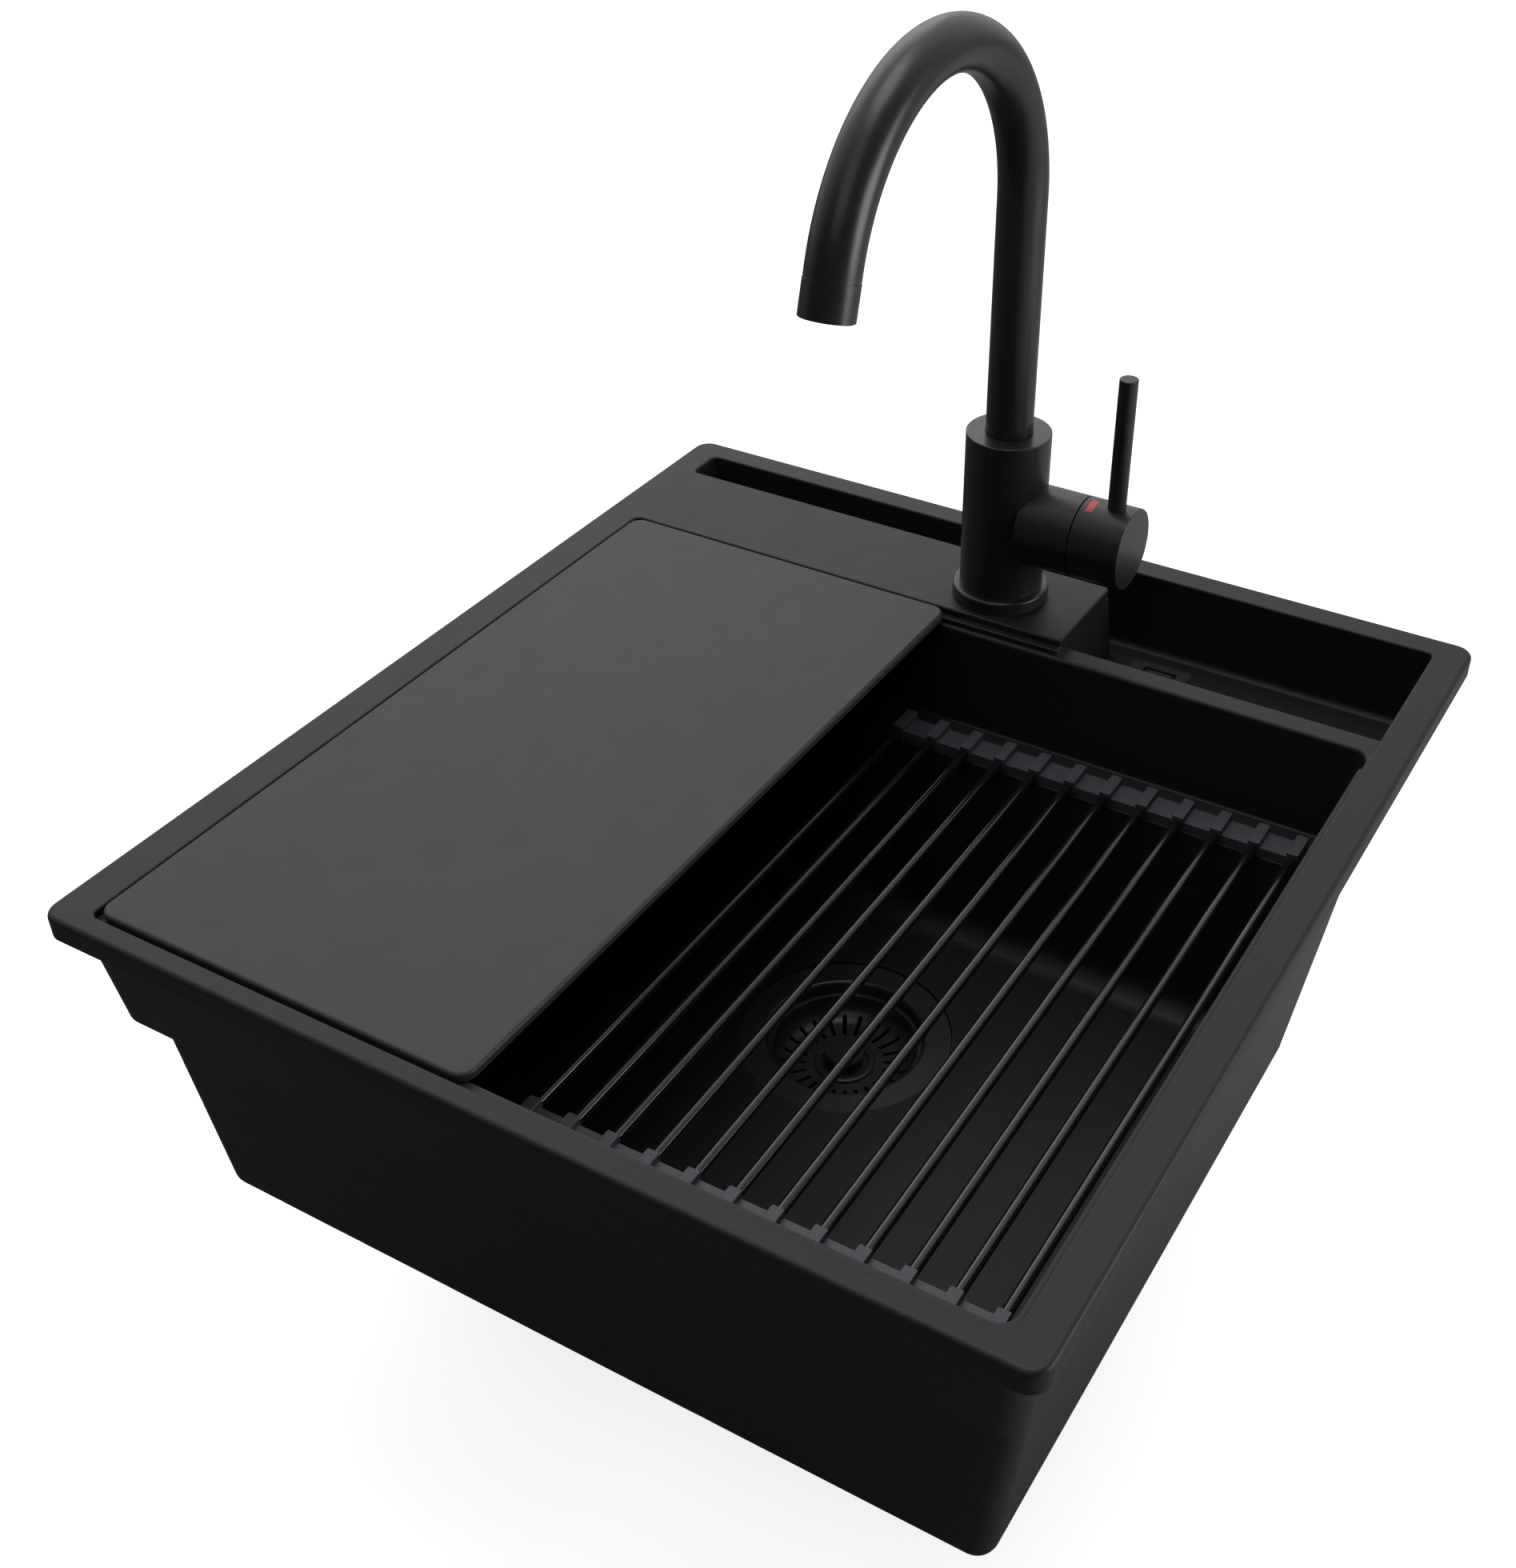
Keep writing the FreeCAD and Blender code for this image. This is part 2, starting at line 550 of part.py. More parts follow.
def make_edge_rounds(body):
    """The soft edges of the moulding: rim, deck, ledges and divider."""
    half_width = value("rim_half_width")
    half_depth = value("rim_half_depth")
    corner = value("rim_corner")
    top = flat_at("rim_thick")

    def on_rim_outside(edge):
        middle = edge.CenterOfMass
        return (
            abs(middle.x) > half_width - corner / 2 or abs(middle.y) > half_depth - corner / 2
        )

    back_ledge = flat_at("back_ledge_z")
    board_ledge = flat_at("board_ledge_z")
    bowl_back = value("upper_back")
    bowl_right = value("upper_right")
    step = value("deck_front_step")

    def on_divider_lip(edge):
        box = edge.BoundBox
        return back_ledge(edge) and box.YMax < bowl_back and box.XMax < bowl_right

    def on_deck_step(edge):
        box = edge.BoundBox
        return board_ledge(edge) and abs(box.YMin - step) < 0.01 and box.XLength > step

    tap_hole = round_at("tap_hole", "rim_thick")
    soften(body, "DividerRound", "divider_round", on_divider_lip)
    soften(body, "DeckStepRound", "step_edge_round", on_deck_step)
    soften(body, "RimRound", "rim_round", lambda edge: top(edge) and on_rim_outside(edge))
    soften(
        body, "InnerRound", "inner_round",
        lambda edge: top(edge) and not on_rim_outside(edge) and not tap_hole(edge),
    )


def make_sink():
    body = new_body("sink_basin")
    make_shell(body)
    make_recesses(body)
    make_bowl(body)
    make_holes(body)
    make_edge_rounds(body)


# ---------------------------------------------------------------- drain and waste
OVERFLOW_MIDDLE = ("( cover_left + cover_right ) / 2", "( cover_front + cover_back ) / 2")
OVERFLOW_RIGHT = f"( {OVERFLOW_MIDDLE[0]} - drain_right )"
OVERFLOW_BACK = f"( {OVERFLOW_MIDDLE[1]} - drain_back )"


def at_drain(body):
    place(body, "drain_right", "drain_back", "floor_z")


def make_drain():
    flange = turned("drain_flange", [
        ("cup_radius", "flange_mouth"), ("flange_radius", "flange_edge_top"),
        ("flange_radius", "flange_edge_foot"), ("drain_hole - throat_out", "- flange_seat"),
        ("cup_radius + cup_wall", "- flange_seat - throat_out"),
        ("cup_radius + cup_wall", "- cup_depth - cup_wall"),
        ("spigot_radius", "- cup_depth - cup_wall"), ("spigot_radius", "spigot_end"),
        ("outlet_radius", "spigot_end"), ("outlet_radius", "- cup_depth"),
        ("basket_seat_radius", "- cup_depth"), ("basket_seat_radius", "basket_seat"),
        ("cup_radius", "basket_seat"),
    ])
    soften(flange, "Mouth", "mouth_round", round_at("cup_radius", "flange_mouth"))
    soften(
        flange, "Edge", "flange_edge_round", round_at("flange_radius", "flange_edge_top")
    )
    at_drain(flange)
    bottom = "shell_bottom_z - floor_z"
    gasket_foot = f"{bottom} - gasket_thick"
    gasket = ring("drain_gasket", "cup_radius + cup_wall", "gasket_radius", gasket_foot, bottom)
    at_drain(gasket)
    nut_foot = f"{gasket_foot} - locknut_thick"
    locknut = ring(
        "waste_locknut", "cup_radius + cup_wall", "locknut_radius", nut_foot, gasket_foot
    )
    notch = new_sketch(locknut, "Notch", height=gasket_foot)
    draw_rounded_box(
        notch, "locknut_radius - notch_deep", "locknut_radius + notch_deep",
        "- notch_wide / 2", "notch_wide / 2", "notch_corner",
    )
    around(locknut, cut(locknut, notch, "locknut_thick"), "notches")
    at_drain(locknut)
    tail = turned("waste_tailpiece", [
        ("tail_radius - tail_wall", "tail_end"), ("outlet_pin_radius", "tail_end"),
        ("outlet_pin_radius", "tail_end + outlet_pin_length"),
        ("tail_radius", "tail_end + outlet_pin_length"),
        ("tail_radius", "spigot_end - tail_flange"),
        ("spigot_radius", "spigot_end - tail_flange"), ("spigot_radius", "spigot_end"),
        ("tail_radius - tail_wall", "spigot_end"),
    ])
    at_drain(tail)
    turn_plan(tail)
    branch = new_sketch(tail, "Branch", "YZ_Plane", height="tail_radius - tail_wall / 2")
    draw_circle(branch, "branch_radius", "0", "branch_z")
    pad(tail, branch, "branch_reach - tail_radius + tail_wall / 2")
    bore = new_sketch(tail, "BranchBore", "YZ_Plane", height="branch_reach")
    draw_circle(bore, "pipe_radius", "0", "branch_z")
    cut(tail, bore, "branch_reach - tail_radius + tail_wall * 2")
    nut = turned("waste_tail_nut", [
        ("spigot_radius + joint_gap", "spigot_end + tail_nut_up"),
        ("tail_nut_radius", "spigot_end + tail_nut_up"),
        ("tail_nut_radius", "spigot_end - tail_nut_down"),
        ("tail_radius + joint_gap * 2", "spigot_end - tail_nut_down"),
        ("tail_radius + joint_gap * 2", "spigot_end - tail_flange"),
        ("spigot_radius + joint_gap", "spigot_end - tail_flange"),
    ])
    flute = new_sketch(nut, "Flute", height="spigot_end + tail_nut_up")
    draw_circle(flute, "flute_radius", "tail_nut_radius + flute_out", "0")
    around(nut, cut(nut, flute, "tail_nut_up + tail_nut_down"), "flutes")
    at_drain(nut)


def turn_plan(thing):
    """Turns a sub-part in plan, so that its own X points from the drain to the overflow."""
    bearing = math.degrees(math.atan2(value(OVERFLOW_BACK), value(OVERFLOW_RIGHT)))
    thing.Placement.Rotation = FreeCAD.Rotation(Vector(0, 0, 1), bearing)


def make_overflow():
    """The cover in the tray's floor, the funnel under it and the pipe to the waste."""
    cover = new_body("overflow_cover")
    plate = new_sketch(cover, "Plate", height="tray_floor")
    draw_rounded_box(
        plate, "cover_left", "cover_right", "cover_front", "cover_back", "cover_corner"
    )
    pad(cover, plate, "cover_thick", down=True)
    groove = new_sketch(cover, "Groove", height="tray_floor")
    draw_rounded_box(
        groove, "ring_left", "ring_right", "cover_front + ring_inset",
        "cover_back - ring_inset", "ring_corner",
    )
    draw_rounded_box(
        groove, "ring_left + ring_width", "ring_right - ring_width",
        "cover_front + ring_inset + ring_width", "cover_back - ring_inset - ring_width",
        "ring_inner_corner",
    )
    cut(cover, groove, "cover_thick - ring_floor")
    for side, right in (("Left", "ring_left + ring_width"), ("Right", "ring_right")):
        vent = new_sketch(cover, "Vent" + side, height="tray_floor")
        draw_rounded_box(
            vent, f"{right} - ring_width", right, "cover_front + vent_inset",
            "cover_back - vent_inset", "vent_corner",
        )
        cut(cover, vent, "cover_thick + through")

    funnel = new_body("overflow_funnel")
    mouth = new_sketch(funnel, "Mouth", height="rear_shell_z")
    draw_rounded_box(
        mouth, "cover_left - funnel_lip", "cover_right + funnel_lip",
        "cover_front - funnel_lip", "cover_back + funnel_lip", "funnel_corner",
    )
    pad(funnel, mouth, "funnel_rim", down=True)
    collar = new_sketch(funnel, "Collar", height="rear_shell_z - funnel_rim")
    draw_circle(collar, "elbow_radius", *OVERFLOW_MIDDLE)
    pad(funnel, collar, "rear_shell_z - funnel_rim - elbow_bottom", down=True)
    well = new_sketch(funnel, "Well", height="rear_shell_z")
    draw_rounded_box(
        well, "cover_left + funnel_lip", "cover_right - funnel_lip",
        "cover_front + funnel_lip", "cover_back - funnel_lip", "well_corner",
    )
    cut(funnel, well, "funnel_deep")
    socket = new_sketch(funnel, "Socket", height="rear_shell_z - funnel_deep")
    draw_circle(socket, "pipe_radius", *OVERFLOW_MIDDLE)
    cut(funnel, socket, "rear_shell_z - funnel_deep - elbow_bottom + through")

    pipe = new_body("overflow_pipe")
    section = new_sketch(pipe, "Section")
    draw_circle(section, "pipe_radius")
    draw_circle(section, "pipe_radius - pipe_wall")
    top = "( elbow_bottom + pipe_grip )"
    drop = f"( {top} - floor_z - branch_z )"
    run = f"sqrt({OVERFLOW_RIGHT} ^ 2 + {OVERFLOW_BACK} ^ 2)"
    spine = new_sketch(pipe, "Spine", "XZ_Plane")
    draw_spine(
        spine, "0", f"pipe_bend - {drop}", "pipe_bend",
        (f"branch_reach - pipe_socket - {run}", f"- {drop}"),
    )
    sweep(pipe, section, spine)
    place(pipe, *OVERFLOW_MIDDLE, top)
    turn_plan(pipe)


def draw_spine(sketch, start, bend_start, radius, end):
    """A pipe's line: upright, then one bend to the sketch's left, then straight on."""
    first = Vector(0, value(start), 0)
    corner = Vector(0, value(bend_start), 0)
    last = Vector(value(end[0]), value(end[1]), 0)
    size = value(radius)
    centre = corner - Vector(size, 0, 0)
    sight = last - centre
    bearing = math.atan2(sight.y, sight.x)
    swing = math.acos(size / sight.Length)
    circle = Part.Circle(centre, Vector(0, 0, 1), size)
    rising = corner.y > first.y
    if rising:
        leave = bearing - swing
        bend = Part.ArcOfCircle(circle, 0, leave)
    else:
        leave = bearing + swing
        bend = Part.ArcOfCircle(circle, leave, 0)
    spot = centre + Vector(math.cos(leave), math.sin(leave), 0) * size
    upright = sketch.addGeometry(Part.LineSegment(first, corner), False)
    arc = sketch.addGeometry(bend, False)
    onward = sketch.addGeometry(Part.LineSegment(spot, last), False)
    head, tail = (1, 2) if rising else (2, 1)
    sketch.addConstraint(Sketcher.Constraint("Vertical", upright))
    sketch.addConstraint(Sketcher.Constraint("Tangent", upright, 2, arc, head))
    sketch.addConstraint(Sketcher.Constraint("Tangent", arc, tail, onward, 1))
    number = sketch.addConstraint(Sketcher.Constraint("Radius", arc, size))
    sketch.setExpression(f"Constraints[{number}]", bound(radius))
    fix(sketch, "DistanceX", upright, 1, "0")
    fix(sketch, "DistanceY", upright, 1, start)
    fix(sketch, "DistanceY", upright, 2, bend_start)
    fix(sketch, "DistanceX", onward, 2, end[0])
    fix(sketch, "DistanceY", onward, 2, end[1])


def sweep(body, section, spine):
    doc.recompute()
    feature = body.newObject("PartDesign::AdditivePipe", section.Name + "Sweep")
    feature.Profile = section
    feature.Spine = (spine, ["Edge1", "Edge2", "Edge3"])
    doc.recompute()
    return feature


# ---------------------------------------------------------------- strainer basket
def make_strainer():
    basket = turned("strainer_basket", [
        ("0", "basket_floor"), ("basket_foot_radius", "basket_floor"),
        ("basket_radius - lip_wide", "lip_foot"), ("basket_radius", "lip_foot"),
        ("basket_radius", "lip_top"), ("basket_radius - lip_bend", "lip_top"),
        ("basket_foot_radius - dish_step", "basket_floor + basket_wall"),
        ("0", "basket_floor + basket_wall"),
    ])
    inside = round_at("basket_foot_radius - dish_step", "basket_floor + basket_wall")
    soften(basket, "Dish", "basket_round", inside)
    outside = round_at("basket_foot_radius", "basket_floor")
    soften(basket, "DishOutside", "basket_round + basket_wall", outside)
    soften(basket, "LipRound", "lip_round", flat_at("lip_top"))
    slot = new_sketch(basket, "Slot")
    draw_rounded_box(
        slot, "basket_slot_inner", "basket_slot_outer", "- basket_slot_width / 2",
        "basket_slot_width / 2", "basket_slot_width * 0.48",
    )
    around(basket, cut(basket, slot, "through - basket_floor"), "basket_slots")
    collar = new_sketch(basket, "Collar", "XZ_Plane")
    base = "basket_floor + basket_wall / 2"
    draw_outline(collar, [
        ("knob_ring - knob_ring_wide", base), ("knob_ring", base),
        ("knob_ring", "knob_ring_top"), ("knob_ring - knob_ring_wide", "knob_ring_top"),
    ])
    turn(basket, collar)
    soften(basket, "CollarRound", "knob_ring_round", flat_at("knob_ring_top"))
    stem_hole = new_sketch(basket, "StemHole")
    draw_circle(stem_hole, "stopper_stem")
    cut(basket, stem_hole, "through - basket_floor")
    at_drain(basket)

    knob_foot = "basket_floor + basket_wall + turn_gap"
    knob = turned("strainer_knob", [
        ("0", knob_foot), ("knob_neck", knob_foot), ("knob_neck", "knob_base"),
        ("knob_radius - knob_bevel", "knob_base"),
        ("knob_radius", "knob_base + knob_bevel"), ("knob_radius", "knob_top - knob_edge"),
        ("knob_radius - knob_edge", "knob_top"), ("0", "knob_top"),
    ])
    at_drain(knob)
    stopper_foot = "stopper_gap - cup_depth"
    stopper_top = f"{stopper_foot} + stopper_thick"
    stem = turned("strainer_stem", [
        ("0", f"{stopper_foot} + stem_sunk"), ("stopper_stem", f"{stopper_foot} + stem_sunk"),
        ("stopper_stem", knob_foot), ("0", knob_foot),
    ])
    at_drain(stem)
    seal = turned("strainer_seal", [
        ("stopper_stem", stopper_foot), ("stopper_radius - stopper_edge", stopper_foot),
        ("stopper_radius", f"{stopper_foot} + stopper_edge"), ("stopper_radius", stopper_top),
        ("stopper_stem", stopper_top),
    ])
    at_drain(seal)


# ---------------------------------------------------------------- board and rack
def make_board():
    board = new_body("cutting_board")
    outline = new_sketch(board, "Outline", height="board_bottom")
    draw_rounded_box(
        outline, "board_left", "board_right", "board_front", "board_back", "board_corner"
    )
    pad(board, outline, "board_top - board_bottom")
    soften(board, "TopRound", "board_round", flat_at("board_top"))
    soften(board, "FootRound", "board_round / 2", flat_at("board_bottom"))


def make_strip(label, front, rod_end, forward):
    """One silicone strip: a block round each rod's end, joined by low webs."""
    strip = new_body(label)
    block = new_sketch(strip, "Block", height="block_bottom")
    draw_rounded_box(
        block, "- block_wide / 2", "block_wide / 2", "0", "block_deep", "strip_corner"
    )
    one = pad(strip, block, "block_top - block_bottom")
    along(strip, [one], "rod_count", "rod_pitch")
    soften(strip, "BlockRound", "strip_round", flat_at("block_top"))
    web = new_sketch(strip, "Web", height="block_bottom")
    draw_rounded_box(
        web, "0", "rod_pitch * ( rod_count - 1 )", "block_deep / 2 - web_deep / 2",
        "block_deep / 2 + web_deep / 2", "strip_corner",
    )
    pad(strip, web, "web_top - block_bottom")
    hole = new_sketch(strip, "Hole", "XZ_Plane", height=f"- ( {rod_end} )")
    draw_circle(hole, "rod_radius", "0", "rod_z")
    along(strip, [cut(strip, hole, "block_deep", up=forward)], "rod_count", "rod_pitch")
    place(strip, "rod_first", front)


def make_rack():
    make_strip("rack_strip_front", "strip_front", "rod_front - strip_front", False)
    make_strip("rack_strip_rear", "strip_back", "rod_back - strip_back", True)
    for index in range(int(value("rod_count"))):
        rod = doc.addObject("Part::Cylinder", f"Rod{index + 1}")
        rod.Label = f"rack_rod_{index + 1:02d}"
        bind(rod, "Radius", "rod_radius")
        bind(rod, "Height", "rod_back - rod_front")
        rod.Placement.Rotation = FreeCAD.Rotation(Vector(1, 0, 0), -90)
        place(rod, f"rod_first + rod_pitch * {index}", "rod_front", "rod_z")
        pieces.append(rod)


# ---------------------------------------------------------------- tap, fixed pieces
def at_tap(body):
    place(body, "0", "tap_back", "rim_thick")


def at_barrel(body):
    lay_to_right(body)
    place(body, "0", "tap_back", "rim_thick + barrel_z")


def make_tap_fixed():
    at_tap(ring("tap_gasket", "tap_hole", "base_radius - gasket_inset", "0", "base_gasket"))
    base = ring("tap_base_ring", "tap_hole", "base_radius", "base_gasket", "base_top")
    soften(base, "TopRound", "base_round", round_at("base_radius", "base_top"))
    at_tap(base)

    tap = turned("tap_body", [
        ("0", "base_top"), ("body_radius", "base_top"), ("body_radius", "body_top"),
        ("bush_radius", "body_top"), ("bush_radius", "bush_bottom"),
        ("socket_radius", "bush_bottom"), ("socket_radius", "socket_bottom"),
        ("0", "socket_bottom"),
    ])
    soften(tap, "TopRound", "edge_round", round_at("body_radius", "body_top"))
    barrel = new_sketch(tap, "Barrel", "YZ_Plane", height="cavity_start")
    draw_circle(barrel, "barrel_radius", "0", "barrel_z")
    pad(tap, barrel, "barrel_end - cavity_start")
    cavity = new_sketch(tap, "Cavity", "YZ_Plane", height="barrel_end")
    draw_circle(cavity, "cavity_radius", "0", "barrel_z")
    cut(tap, cavity, "barrel_end - cavity_start")
    at_tap(tap)

    at_tap(ring(
        "spout_bush", "tube_radius + bush_play", "bush_radius", "bush_bottom",
        "body_top - bush_sunk",
    ))
    cartridge = turned("cartridge", [
        ("0", "cavity_start"), ("cavity_radius - turn_gap", "cavity_start"),
        ("cavity_radius - turn_gap", "barrel_end - nut_inset"),
        ("sleeve_radius + sleeve_play", "barrel_end - nut_inset"),
        ("sleeve_radius + sleeve_play", "sleeve_start - seat_gap"),
        ("0", "sleeve_start - seat_gap"),
    ])
    at_barrel(cartridge)
    nut = ring(
        "cartridge_nut", "sleeve_radius + turn_gap", "cavity_radius",
        "barrel_end - nut_inset", "barrel_end - seat_gap",
    )
    at_barrel(nut)

    at_tap(ring("tap_shank", "shank_bore", "shank_radius", "shank_bottom", "base_top"))
    deck_foot = "- deck_thick"
    washer_foot = f"{deck_foot} - washer_thick"
    at_tap(ring(
        "fixing_washer", "shank_radius + seat_gap", "washer_radius", washer_foot, deck_foot
    ))
    nut = new_body("fixing_nut")
    flats = new_sketch(nut, "Flats", height=washer_foot)
    corner = "nut_flats / 2 / cos(30)"
    draw_outline(flats, [
        (f"{corner} * cos({60 * side})", f"{corner} * sin({60 * side})")
        for side in range(6)
    ])
    pad(nut, flats, "nut_thick", down=True)
    thread = new_sketch(nut, "Thread", height=washer_foot)
    draw_circle(thread, "shank_radius")
    cut(nut, thread, "nut_thick + through")
    at_tap(nut)
    for label, side in (("inlet_hot", "-"), ("inlet_cold", "")):
        inlet = turned(label, [
            ("inlet_thread", "inlet_bottom"), ("inlet_radius", "inlet_bottom"),
            ("inlet_radius", "base_top"), ("0", "base_top"),
            ("0", "base_top - inlet_cap"), ("inlet_bore", "base_top - inlet_cap"),
            ("inlet_bore", "inlet_bottom + inlet_grip"),
            ("inlet_thread", "inlet_bottom + inlet_grip"),
        ])
        place(inlet, f"{side}inlet_out", "tap_back", "rim_thick")


# ---------------------------------------------------------------- tap, spout
def arch_end(extra):
    """Place of a point on the outlet's straight run, from the tap's own origin."""
    back = (
        f"arch_radius * ( cos(arch_angle) - 1 ) - sin(arch_angle) * ( {extra} )"
    )
    up = f"riser_top + arch_radius * sin(arch_angle) + cos(arch_angle) * ( {extra} )"
    return back, up


def at_outlet(body):
    back, up = arch_end("outlet_run")
    body.Placement.Rotation = FreeCAD.Rotation(Vector(1, 0, 0), value("arch_angle"))
    place(body, "0", f"tap_back + {back}", f"rim_thick + {up}")


def make_spout():
    tube = new_body("spout_tube")
    section = new_sketch(tube, "Section", height="bush_bottom")
    draw_circle(section, "tube_radius")
    draw_circle(section, "tube_radius - tube_wall")
    spine = new_sketch(tube, "Spine", "YZ_Plane")
    draw_spine(spine, "bush_bottom", "riser_top", "arch_radius", arch_end("outlet_run"))
    sweep(tube, section, spine)
    at_tap(tube)

    groove = "foot_radius - groove_deep"
    inside = "foot_radius - foot_wall"
    profile = [(inside, "foot_bottom"), ("foot_radius", "foot_bottom")]
    for level in ("groove_low", "groove_high"):
        profile += [
            ("foot_radius", level), (groove, level),
            (groove, f"{level} + groove_wide"), ("foot_radius", f"{level} + groove_wide"),
        ]
    profile += [
        ("foot_radius", "bush_bottom - turn_gap"), ("tube_radius - tube_wall", "bush_bottom"),
        ("tube_radius - tube_wall", "bush_bottom + foot_sleeve"),
        (inside, "bush_bottom + foot_sleeve"),
    ]
    at_tap(turned("spout_foot", profile))
    for label, level in (
        ("spout_seal_lower", "groove_low"), ("spout_seal_upper", "groove_high")
    ):
        seal = new_body(label)
        round_section = new_sketch(seal, "Section", "XZ_Plane")
        draw_circle(
            round_section, "seal_radius", f"{groove} + seal_radius",
            f"{level} + groove_wide / 2",
        )
        turn(seal, round_section)
        at_tap(seal)

    bore = "tube_radius - aerator_wall"
    neck = "tube_radius - aerator_groove"
    skin = "tube_radius + aerator_proud"
    at_outlet(turned("aerator_housing", [
        (bore, "0"), (neck, "0"), (neck, "aerator_groove_wide"),
        (skin, "aerator_groove_wide"), (skin, "aerator_length - aerator_groove"),
        (neck, "aerator_length"), (bore, "aerator_length"),
    ]))
    face = "aerator_length - insert_foot"
    insert = turned("aerator_insert", [
        ("0", f"{face} - insert_thick"), (bore, f"{face} - insert_thick"), (bore, face),
        ("0", face),
    ])
    for ring_name in ("inner", "outer"):
        jet = new_sketch(insert, ring_name.title() + "Jet", height=face)
        draw_circle(jet, "jet_radius", f"jet_{ring_name}", "0")
        around(insert, cut(insert, jet, "jet_depth"), f"jet_{ring_name}_count")
    at_outlet(insert)


# ---------------------------------------------------------------- tap, lever
def make_lever():
    at_barrel(ring(
        "cartridge_sleeve", "sleeve_bore", "sleeve_radius", "sleeve_start", "sleeve_end"
    ))
    stem_end = "cap_wall_start + stem_grip"
    at_barrel(ring("lever_stem", "0", "stem_radius", "stem_start", stem_end))

    cap = turned("lever_cap", [
        ("cap_bore", "cap_start"), ("barrel_radius", "cap_start"),
        ("barrel_radius", "cap_end"), ("0", "cap_end"), ("0", stem_end),
        ("stem_radius", stem_end), ("stem_radius", "cap_wall_start"),
        ("cap_bore", "cap_wall_start"),
    ])
    soften(cap, "EndRound", "edge_round", round_at("barrel_radius", "cap_end"))
    rod_hole = new_sketch(cap, "RodHole", "YZ_Plane", height="- barrel_radius - through")
    draw_circle(rod_hole, "lever_radius", "0", "lever_out")
    cut(cap, rod_hole, "barrel_radius + through - lever_sunk", up=True)
    mark_seat = new_sketch(cap, "MarkSeat", "XZ_Plane")
    draw_outline(mark_seat, mark_corners("barrel_radius + through"))
    mark_start_angle(mark_seat)
    turn(cap, mark_seat, "mark_angle", groove=True)
    grub_hole = new_sketch(cap, "GrubHole", "YZ_Plane", height="barrel_radius + through")
    draw_circle(grub_hole, "grub_radius", "0", "grub_out")
    cut(cap, grub_hole, "barrel_radius - cap_bore + through * 1.5")
    at_barrel(cap)

    rod = new_body("lever_rod")
    section = new_sketch(rod, "Section", "YZ_Plane", height="- lever_sunk")
    draw_circle(section, "lever_radius", "0", "lever_out")
    pad(rod, section, "barrel_radius + lever_rise - lever_sunk", down=True)
    tip = -value("barrel_radius + lever_rise")
    soften(rod, "TipRound", "lever_tip_round", lambda edge: abs(edge.BoundBox.XMax - tip) < 0.01)
    at_barrel(rod)

    mark = new_body("temperature_mark")
    inlay = new_sketch(mark, "Inlay", "XZ_Plane")
    draw_outline(inlay, mark_corners("barrel_radius + mark_proud"))
    mark_start_angle(inlay)
    turn(mark, inlay, "mark_angle")
    at_barrel(mark)

    grub = new_body("grub_screw")
    head = new_sketch(grub, "Head", "YZ_Plane", height="barrel_radius + grub_proud")
    draw_circle(head, "grub_radius", "0", "grub_out")
    pad(grub, head, "grub_length", down=True)
    at_barrel(grub)


def mark_corners(outer):
    """Half profile of the coloured mark on the cap's skin, in a turned sketch plane."""
    inner = "barrel_radius - mark_depth"
    end = "mark_start + mark_wide"
    return [(inner, "mark_start"), (outer, "mark_start"), (outer, end), (inner, end)]


def mark_start_angle(sketch):
    """Turns the mark's sketch so that it starts just behind the top of the barrel."""
    sketch.AttachmentOffset = FreeCAD.Placement(
        Vector(0, 0, 0), FreeCAD.Rotation(Vector(0, 1, 0), 180 - value("mark_back_angle"))
    )
    doc.recompute()


# ---------------------------------------------------------------- build, test and write
make_sink()
make_drain()
make_overflow()
make_strainer()
make_board()
make_rack()
make_tap_fixed()
make_spout()
make_lever()
doc.recompute()

for item in doc.Objects:
    if "Invalid" in item.State or "Error" in item.State:
        raise RuntimeError(f"{item.Name} is {item.State}")
os.makedirs("parts", exist_ok=True)
for piece in pieces:
    shape = piece.Shape
    if shape.isNull() or not shape.isValid() or not shape.Solids:
        raise RuntimeError(f"{piece.Label} has no valid solid")
    shape.exportStep(os.path.join("parts", piece.Label + ".step"))
    print(f"{piece.Label}: {len(shape.Solids)} solid, {shape.Volume / 1000:.2f} cm3")
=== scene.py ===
"""Looks of the workstation kitchen sink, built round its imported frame.

Metres, in the frame's own axes: +Z up, +Y to the back, origin in the worktop cut-out.
"""
import json
import math

import bmesh
import bpy
from mathutils import Matrix, Vector


